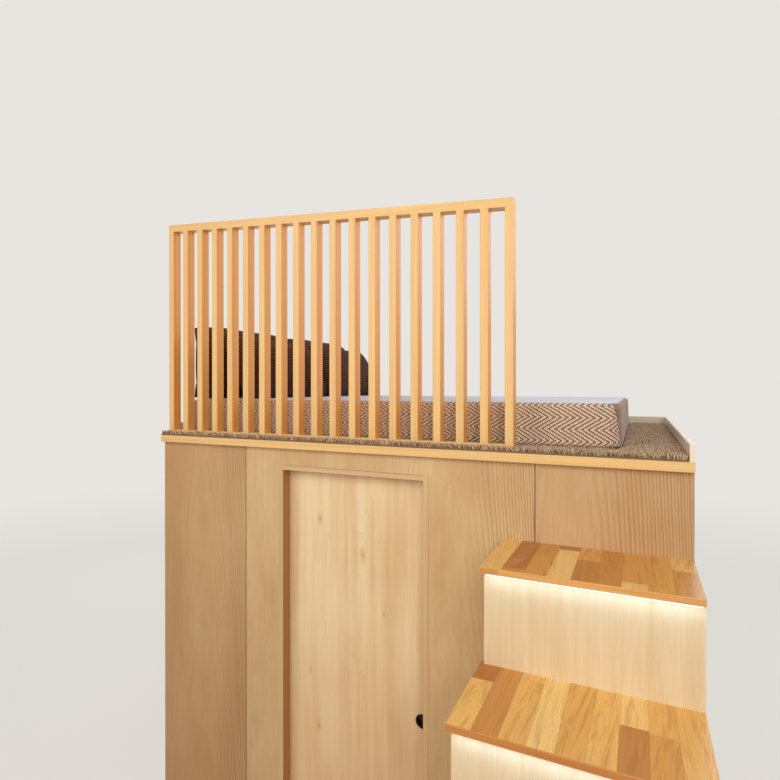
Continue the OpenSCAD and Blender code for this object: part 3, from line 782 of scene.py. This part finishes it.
def make_mattress():
    """Rings of the outline at each height of the side's profile, drawn in by the taper and by the
    rounding of the edges, then shrunk to a crowned top and a flat bottom. Gives the points, the
    faces, and for each point how far round the bed and how far up the cloth it lies."""
    low, high = np.array(bed_low), np.array(bed_high)
    centre, half = (low + high) / 2, (high - low) / 2
    outline, run = rounded_outline(half[0], half[1], BED_CORNERS, BED_SIDE_STEPS, BED_CORNER_STEPS)
    thick = high[2] - low[2]
    quarter = np.radians(np.linspace(0, 90, BED_ROUND_STEPS))
    sine_less, cosine_less = 1 - np.sin(quarter), 1 - np.cos(quarter)
    foot = BED_FOOT_ROUND * np.stack([sine_less, cosine_less], 1)
    wall_z = np.linspace(BED_FOOT_ROUND, thick - BED_TOP_ROUND, BED_WALL_STEPS)[1:-1]
    wall = np.stack([np.zeros_like(wall_z), wall_z], 1)
    head = np.stack([BED_TOP_ROUND * cosine_less, thick - BED_TOP_ROUND * sine_less], 1)
    profile = np.concatenate([foot, wall, head])
    profile[:, 0] += BED_TAPER * (profile[:, 1] / thick) ** 1.8
    climb = np.concatenate([[0], np.cumsum(np.linalg.norm(np.diff(profile, axis=0), axis=1))])
    shrink = (half[:2] - profile[:, :1]) / half[:2]
    flat = np.linspace(1, BED_HOLE, BED_TOP_RINGS + 1)[1:, None]
    shrink = np.concatenate([BED_UNDER * shrink[0], shrink, flat * shrink[-1]])
    crown = thick + BED_CROWN * (1 - flat ** 2)
    rows, columns = len(shrink), len(outline)
    grid = np.zeros((rows, columns, 3))
    grid[..., :2] = outline * shrink[:, None] + centre[:2]
    grid[..., 2] = np.concatenate([0 * BED_UNDER, profile[:, 1:], crown]) + low[2]
    index = np.arange(rows * columns).reshape(rows, columns)
    cells = np.stack([index[:-1, :-1], index[1:, :-1], index[1:, 1:], index[:-1, 1:]], -1)
    faces = cells.reshape(-1, 4).tolist() + [index[0, :-1].tolist(), index[-1, :-1][::-1].tolist()]
    height = np.concatenate([[0, 0], low[2] + climb, np.full(len(flat), low[2] + climb[-1])])
    return grid, faces, np.broadcast_to(run, (rows, columns)), np.repeat(height[:, None], columns, 1)


def cover_cloth(name, ground, shadow):
    """Plain knitted cover with a fine stitch and a slow unevenness."""
    cloth = Finish(name, 0.9, [("Sheen Weight", 0.3)])
    stitch = cloth.streaks(900.0, 900.0, 1.0)
    drift = cloth.streaks(22.0, 22.0)
    colour = cloth.lay(ground, shadow, drift, 0.35, 0.7, 0.6)
    return cloth.finish(colour, stitch * 0.25 + drift, 0.0015, 0.4)


def woven_side():
    """The mattress's sides, read off the cloth's own map, which runs round the bed and up its side
    in metres: chevron stripes that turn back at each row between two slanting seams, and plain
    cloth beyond them, painted dark as shade."""
    cloth = Finish("woven_side", 0.92, [("Sheen Weight", 0.2)])
    mapped = cloth.add("UVMap", {}, uv_map="cloth_map").outputs[0]
    along, up = cloth.split(mapped)[:2]
    loose = cloth.noise(cloth.drawn(mapped, (140.0, 140.0, 1.0)), 2.0)
    shaken = (loose - 0.5) * 0.005 + along
    fold = cloth.calc("PINGPONG", up - (CHEVRON_ROW - 8 * CHEVRON_BAND), CHEVRON_BAND)
    slant = fold * (1 / math.tan(math.radians(CHEVRON_ANGLE))) + shaken
    wave = cloth.calc("PINGPONG", cloth.calc("FRACT", slant / CHEVRON_STEP), 0.5)
    knots = cloth.noise(cloth.drawn(mapped, (230.0, 190.0, 1.0)), 2.0, 0.6)
    edge = (knots - 0.5) * 0.42 + wave
    stitch = cloth.calc("PINGPONG", shaken / BED_STITCH, 0.5)
    thread = cloth.remap(stitch, 0.02, 0.26, 0.35, 1.0)
    pale = cloth.remap(edge, 0.16, 0.27) * thread
    lit = cloth.remap(knots, 0.36, 0.62)
    woven = cloth.blend(pale, cloth.blend(lit, *BROWN_YARN), cloth.blend(lit, *CREAM_YARN))
    half_length, half_width = (bed_high.x - bed_low.x) / 2, (bed_high.y - bed_low.y) / 2
    right_end = half_length + 2 * half_width - 3 * BED_CORNERS[1] + math.pi * BED_CORNERS[1]
    left_end = right_end + 2 * half_length - BED_CORNERS[1] - BED_CORNERS[2]
    reach = cloth.remap(up, bed_low.z, bed_high.z, SEAM_SLANT, 0.0) + SEAM_TOP
    left_of = left_end + 1.5 * BED_CORNERS[2] - along + reach
    within = cloth.calc("MINIMUM", along - right_end + reach, left_of)
    panel = cloth.calc("GREATER_THAN", within, 0.0)
    seam = cloth.remap(abs(within), SEAM_HALF * 0.5, SEAM_HALF * 1.6, 1.0, 0.0)
    drift = cloth.streaks(18.0, 18.0)
    # Painted shade: the plain ends' cloth in dark taupe tones
    shaded_plain = cloth.blend(cloth.remap(drift, 0.35, 0.65), *PLAIN_SIDE_SHADE)
    colour = cloth.blend(seam * 0.8, cloth.blend(panel, shaded_plain, woven), SEAM_TONE)
    return cloth.finish(colour, (knots * 0.5 + pale) * panel - seam, 0.0012, 0.5)


def dress_mattress():
    grid, faces, along, up = make_mattress()
    rows, columns = grid.shape[:2]
    top = cover_cloth("bed_cover", *PALE_COVER)
    piece = mesh_piece("mattress_body", grid.reshape(-1, 3), faces, top)
    piece.data.materials.append(woven_side())
    mesh = piece.data
    layer = mesh.uv_layers.new(name="cloth_map")
    corner = np.zeros(len(mesh.loops), np.int32)
    mesh.loops.foreach_get("vertex_index", corner)
    chart = np.stack([along.ravel()[corner], up.ravel()[corner]], 1).astype(np.float32)
    layer.data.foreach_set("uv", chart.ravel())
    row = np.arange(rows - 1)[:, None] + np.zeros(columns - 1, int)
    on_side = (row >= len(BED_UNDER)) & (row < rows - BED_TOP_RINGS - BED_COVER_ROWS)
    slots = np.concatenate([on_side.ravel(), [0, 0]]).astype(np.int32)
    mesh.polygons.foreach_set("material_index", slots)
    weld(piece)
    return piece


def weld(piece, distance=0.00001):
    """Merges the points that the closed rings hold twice, and turns the faces outwards."""
    work = bmesh.new()
    work.from_mesh(piece.data)
    bmesh.ops.remove_doubles(work, verts=work.verts, dist=distance)
    bmesh.ops.recalc_face_normals(work, faces=work.faces)
    work.to_mesh(piece.data)
    work.free()


mattress = dress_mattress()
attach(mattress, "loft")
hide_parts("mattress")


# Pillows. Two stand at the bed's head and two lean on them. Each is two panels of dark ribbed
# cloth sewn round the edge and stuffed, so that it is fat in the middle and thin at its seam. It
# settles flat where it stands on the mattress.
PILLOW_LEAN = 29
LEANING_SIZE = (0.168, 0.356)
BACK_SEAM = 0.05
LEANING_SEAM = 0.45
PILLOW_APART = 0.010
PILLOW_SHIFT = 0.012
PILLOW_SWELL = (0.018, 0.040)
PILLOW_VOXEL = 0.0075
PILLOW_FRAMES = 16
PILLOW_REACH = 0.022
PILLOW_STEPS = 40
PILLOW_PINCH = 0.03
PILLOW_EDGE = 0.09
PILLOW_BOW = 0.86
PILLOW_OVER_BED = 0.001
PILLOW_OFF_WALL = 0.002
# The case as cloth: light, hardly stretching and soft to bend, with a pressure inside
CASE_CLOTH = {"quality": 5, "mass": 0.25, "tension_stiffness": 12, "compression_stiffness": 12,
              "shear_stiffness": 4, "bending_stiffness": 0.3, "use_pressure": True,
              "uniform_pressure_force": 3.0}
RIB = 0.0150
# Each cloth's ground, its ribs and its paler ribs
DARK_CLOTH = (63, 34, 20), (88, 50, 31), (148, 102, 74)
PLUM_CLOTH = (58, 35, 27), (80, 52, 41), (126, 92, 76)


def pillow_panels(name, thickness, width, height, seam_place, material):
    """Two panels bowed apart from the seam, which lies at a share of the thickness: each one's part
    of the thickness times a flat-topped bow across each way, which falls to a thin edge at the
    seam. Thickness lies along x, width along y, height along z, all from the middle."""
    share = np.sin(np.linspace(-np.pi / 2, np.pi / 2, PILLOW_STEPS))
    across, up = np.meshgrid(share, share)
    pinch = 1 - PILLOW_PINCH * (across ** 2 * up ** 2)
    bow = ((1 - np.abs(across) ** 8) * (1 - np.abs(up) ** 5)) ** 0.5
    seam_x = (seam_place - 0.5) * thickness
    out = thickness * (PILLOW_EDGE + PILLOW_BOW * bow)
    case = [across * width / 2 * pinch, up * height / 2 * pinch]
    front = np.stack([seam_x + (1 - seam_place) * out, *case], -1).reshape(-1, 3)
    back = np.stack([seam_x - seam_place * out, *case], -1).reshape(-1, 3)
    count = PILLOW_STEPS ** 2
    index = np.arange(count).reshape(PILLOW_STEPS, PILLOW_STEPS)
    face = np.stack([index[:-1, :-1], index[:-1, 1:], index[1:, 1:], index[1:, :-1]], -1)
    face = face.reshape(-1, 4)
    rim = np.concatenate([index[0, :-1], index[:-1, -1], index[-1, :0:-1], index[:0:-1, 0]])
    after = np.roll(rim, -1)
    seam = np.stack([rim, rim + count, after + count, after], -1)
    faces = np.concatenate([face, face[:, ::-1] + count, seam])
    return mesh_piece(name, np.concatenate([front, back]), faces, material)


def cloth_run(points, seam_place):
    """Where each point lies on its panel: as it stands, but towards the top and the bottom its
    height goes on growing by as much as the cloth has turned in to the seam."""
    low, high = points.min(0), points.max(0)
    seam_x = low[0] + seam_place * (high[0] - low[0])
    bulge = np.where(points[:, 0] > seam_x, high[0] - seam_x, seam_x - low[0])
    turned_in = bulge - np.abs(points[:, 0] - seam_x)
    run = points.copy()
    run[:, 2] += (points[:, 2] / high[2]) ** 5 * turned_in
    return run


def stuff(piece, seam_place):
    """Remeshes the sewn case, blows it up as cloth with a pressure inside, and keeps each point
    within a small reach of where it started."""
    remesh = piece.modifiers.new("even", "REMESH")
    remesh.mode = "VOXEL"
    remesh.voxel_size = PILLOW_VOXEL
    settle(piece)
    start = read_points(piece.data)
    cloth = piece.modifiers.new("case", "CLOTH").settings
    for setting, value in CASE_CLOTH.items():
        setattr(cloth, setting, value)
    cloth.effector_weights.gravity = 0
    for number in range(1, PILLOW_FRAMES + 1):
        scene.frame_set(number)
    settle(piece)
    scene.frame_set(1)
    moved = read_points(piece.data) - start
    far = np.maximum(np.linalg.norm(moved, axis=1, keepdims=True), 1e-9)
    place = start + moved * np.minimum(1, PILLOW_REACH / far)
    piece.data.vertices.foreach_set("co", place.astype(np.float32).ravel())
    flat = piece.data.attributes.new("case_place", "FLOAT_VECTOR", "POINT")
    flat.data.foreach_set("vector", cloth_run(start, seam_place).astype(np.float32).ravel())
    return piece


def read_points(mesh):
    points = np.zeros(len(mesh.vertices) * 3, np.float32)
    mesh.vertices.foreach_get("co", points)
    return points.reshape(-1, 3).astype(float)


def settle(piece):
    """Applies the piece's modifiers to its mesh."""
    seen = piece.evaluated_get(bpy.context.evaluated_depsgraph_get())
    made = bpy.data.meshes.new_from_object(seen)
    piece.modifiers.clear()
    piece.data = made
    made.polygons.foreach_set("use_smooth", np.ones(len(made.polygons), bool))


def ribbed_cloth(name, tones, stripe_low, wave):
    """Dark cloth with fine ribs across it and paler ones towards its top, read off the case's own
    place, in metres from its middle."""
    ground, rib, stripe = tones
    cloth = Finish(name, 0.95, [("Sheen Weight", 0.08), ("Sheen Tint", tone(190, 140, 116)),
                                ("Specular IOR Level", 0.2)])
    spot = cloth.add("Attribute", {}, attribute_name="case_place").outputs["Vector"]
    y, z = cloth.split(spot)[1:]
    slow = cloth.noise(cloth.join(0.0, y * 9.0, z * 4.0), 2.0)
    count = (slow * 0.02 + z + y * y * wave) / RIB
    ribs = cloth.calc("PINGPONG", count, 0.5)
    own = cloth.chance(math.floor(count), 2.0, 7.0)[0]
    raised = cloth.remap(z + own * 0.06, stripe_low, stripe_low + 0.10)
    line = cloth.remap(ribs, 0.22, 0.42) * raised
    slub = cloth.noise(cloth.drawn(spot, (500.0, 90.0, 500.0)), 2.0)
    colour = cloth.lay(ground, rib, ribs, 0.05, 0.5)
    colour = cloth.blend(line * cloth.remap(slub, 0.3, 0.6, 0.3, 0.8), colour, stripe)
    return cloth.finish(colour, ribs, 0.0018, 0.6)


def set_pillow(piece, centre, lean, node):
    """Turns the pillow back by its lean about its own middle, puts it in its node's place, and
    presses flat what would reach below the mattress's top or beyond the head of the bed."""
    turn = Matrix.Rotation(math.radians(-lean), 4, "Y")
    piece.data.transform(Matrix.Translation(centre) @ turn)
    points = read_points(piece.data)
    points[:, 2] = np.maximum(points[:, 2], bed_high.z + PILLOW_OVER_BED)
    points[:, 0] = np.maximum(points[:, 0], room_left + PILLOW_OFF_WALL)
    piece.data.vertices.foreach_set("co", points.astype(np.float32).ravel())
    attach(piece, "loft")
    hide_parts(node)


def make_pillows():
    dark = ribbed_cloth("dark_rib", DARK_CLOTH, 0.03, 0.0)
    plum = ribbed_cloth("plum_rib", PLUM_CLOTH, -0.20, -0.55)
    low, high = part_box("pillows_back")
    width = (high.y - low.y - PILLOW_APART) / 2
    size = (high.x - low.x, width + PILLOW_SWELL[0], high.z - low.z + PILLOW_SWELL[0])
    places = (low.y + width / 2 - PILLOW_SHIFT, high.y - width / 2)
    for name, y in zip(("pillow_back_front", "pillow_back_rear"), places):
        piece = stuff(pillow_panels(name, *size, BACK_SEAM, dark), BACK_SEAM)
        middle = Vector(((low.x + high.x) / 2, y, (low.z + high.z) / 2))
        set_pillow(piece, middle, 0, "pillows_back")
    for node, cloth in (("pillow_front", dark), ("pillow_rear", plum)):
        low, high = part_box(node)
        thick, tall = LEANING_SIZE
        size = (thick, high.y - low.y + PILLOW_SWELL[1], tall)
        piece = stuff(pillow_panels(node + "_case", *size, LEANING_SEAM, cloth), LEANING_SEAM)
        set_pillow(piece, (low + high) / 2, PILLOW_LEAN, node)


make_pillows()


# Stair. Treads of oiled hardwood staves glued side by side, with a lipping along the front edge,
# on a box of pale board. A lit strip under each nosing washes the riser below it.
STAVE = 0.0643
STAVE_LENGTH = 0.43
STAVE_START = 0.002
STAVE_SLANT = 0.34
STAVE_SEAM = (118, 68, 34)
STAVE_TONES = [(0.0, (176, 112, 56)), (0.15, (204, 141, 68)), (0.42, (222, 164, 82)),
               (0.7, (237, 189, 106)), (1.0, (249, 214, 140))]
STAVE_LATE = (148, 82, 30)
NOSE_TONES = [(0.0, (182, 108, 48)), (0.5, (212, 146, 74)), (1.0, (246, 196, 120))]
NOSE_LATE = (164, 94, 42)
# Where these nosings start on the scale of tones, and where all others do; the part of the scale
# that each spans, and its pieces a metre
NOSE_STARTS = {1: 0.42, 2: 0.0}
NOSE_START = 0.3
NOSE_SPREAD = 0.4
NOSE_PIECES = 2.9
LIPPING = 0.0024
STRIP_TONE = (182, 215, 255)
STRIP_GLOW = 1.0
LENS_GLOW = (255, 251, 240)
LENS = (126, 124, 118), (120, 118, 113)
RISER_LAMP = 0.10
RISER_LAMP_INSET = 0.006
RISER_LAMP_WIDTH = 0.011
RISER_LAMP_OUT = 0.026
RISER_LAMP_DROP = 0.012
RISER_LAMP_TURN = 45
RISER_TONES = [(0.34, (226, 205, 166)), (0.5, (232, 213, 176)), (0.66, (236, 219, 184))]
RISER_LINE = (208, 174, 130)


def stave_tread(number):
    """Staves in columns across the tread, each column cut at its own places. Each stave has its own
    tone, and rings of its own about a heart that lies within it or beside it."""
    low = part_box(f"tread_{number}")[0]
    wood = Finish(f"staves_{number}", 0.36)
    x, y = wood.place()[:2]
    seed = number * 17.3
    across = (x - (low.x - STAVE_START)) / STAVE
    column = math.floor(across)
    along = wood.chance(column, seed, 3.0)[0] * 3.0 + (y - low.y) / STAVE_LENGTH
    own, colour = wood.chance(column, math.floor(along), seed)
    first, second, third = wood.split(colour)
    mark = own * 40.0
    turned = y * ((second - 0.5) * STAVE_SLANT) + (across - column) * STAVE
    late = wood.rings(turned, y, first * 0.15 - 0.045, depth=0.034, pitch=0.0046, taper=0.10,
                      waver=0.050, sharpness=1.6, mark=mark)[0]
    figure = late * wood.remap(third, 0.0, 1.0, 0.10, 0.28)
    grain = wood.noise(wood.join(turned * 190.0, y * 9.0 + mark, mark), 3.0, 0.6, 0.3)
    streak = wood.noise(wood.join(turned * 60.0, y * 5.0 + mark, mark), 4.0, 0.6, 0.8)
    broad = wood.noise(wood.join(turned * 15.0, y * 3.2 + mark, mark), 1.0, 0.4, 0.7)
    other = wood.ramp(wood.calc("FRACT", third * 7.0), STAVE_TONES)
    board = wood.blend(wood.remap(broad, 0.62, 0.68) * 0.16, wood.ramp(own, STAVE_TONES), other)
    board = wood.lay(board, STAVE_LATE, streak, 0.50, 0.72, 0.45)
    board = wood.blend(figure, board, STAVE_LATE)
    board = wood.lay(board, STAVE_LATE, grain, 0.45, 0.75, 0.22)
    edge_x = wood.calc("PINGPONG", across, 0.5)
    edge_y = wood.calc("PINGPONG", along, 0.5) * (STAVE_LENGTH / STAVE)
    seam = wood.remap(wood.calc("MINIMUM", edge_x, edge_y), 0.004, 0.012, 0.35, 0.0)
    board = wood.blend(seam, board, STAVE_SEAM)
    nose_tone = wood.chance(math.floor(x * NOSE_PIECES + seed), seed, 1.0)[0]
    start = NOSE_STARTS.get(number, NOSE_START)
    nose = wood.ramp(wood.remap(nose_tone, 0.0, 1.0, start, start + NOSE_SPREAD), NOSE_TONES)
    nose_grain = wood.streaks(160.0, 5.0, axis=0)
    nose = wood.lay(nose, NOSE_LATE, nose_grain, 0.4, 0.75, 0.3)
    front = wood.remap(y, low.y + LIPPING, low.y + LIPPING + 0.0006, 1.0, 0.0)
    return wood.finish(wood.blend(front, board, nose), grain, 0.0002, 0.35)


def pale_board():
    """Pale board with long soft figure running up and a very fine pore."""
    board = Finish("riser_face", 0.5)
    figure = board.streaks(24.0, 0.9, 4.0, 0.6)
    vein = board.streaks(120.0, 3.0, 3.0, 0.6)
    fibre = board.streaks(420.0, 16.0, 2.0, 0.6)
    wood = board.ramp(figure, RISER_TONES)
    wood = board.lay(wood, RISER_LINE, vein, 0.4, 0.72, 0.18)
    wood = board.lay(wood, RISER_LINE, fibre, 0.42, 0.75, 0.3)
    return board.finish(wood, fibre, 0.00015, 0.35)


def lit_strip():
    """Milky lens, lit evenly from inside."""
    glow = [("Emission Color", tone(*LENS_GLOW)), ("Emission Strength", STRIP_GLOW)]
    strip = Finish("lit_lens", 0.3, glow)
    ripple = strip.streaks(60.0, 60.0, 1.0)
    return strip.finish(strip.blend(ripple, *LENS))


def light_riser(number):
    """Thin lamp that throws the lens's light, a little in front of it and turned down and in towards
    the riser."""
    low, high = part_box(f"riser_{number}")
    place = ((low.x + high.x) / 2, low.y - RISER_LAMP_OUT, high.z - RISER_LAMP_DROP)
    width = high.x - low.x - 2 * RISER_LAMP_INSET
    lamp = add_lamp(f"riser_lamp_{number}", place, width, RISER_LAMP_WIDTH, RISER_LAMP, STRIP_TONE)
    lamp.rotation_euler = (math.radians(RISER_LAMP_TURN), 0, 0)


riser_face = pale_board()
for number in range(1, 7):
    dress(f"tread_{number}", stave_tread(number))
    dress(f"riser_{number}", riser_face)
    light_riser(number)
dress("stair_side_left", riser_face)
dress("stair_side_right", riser_face)
dress("light_strips", lit_strip())
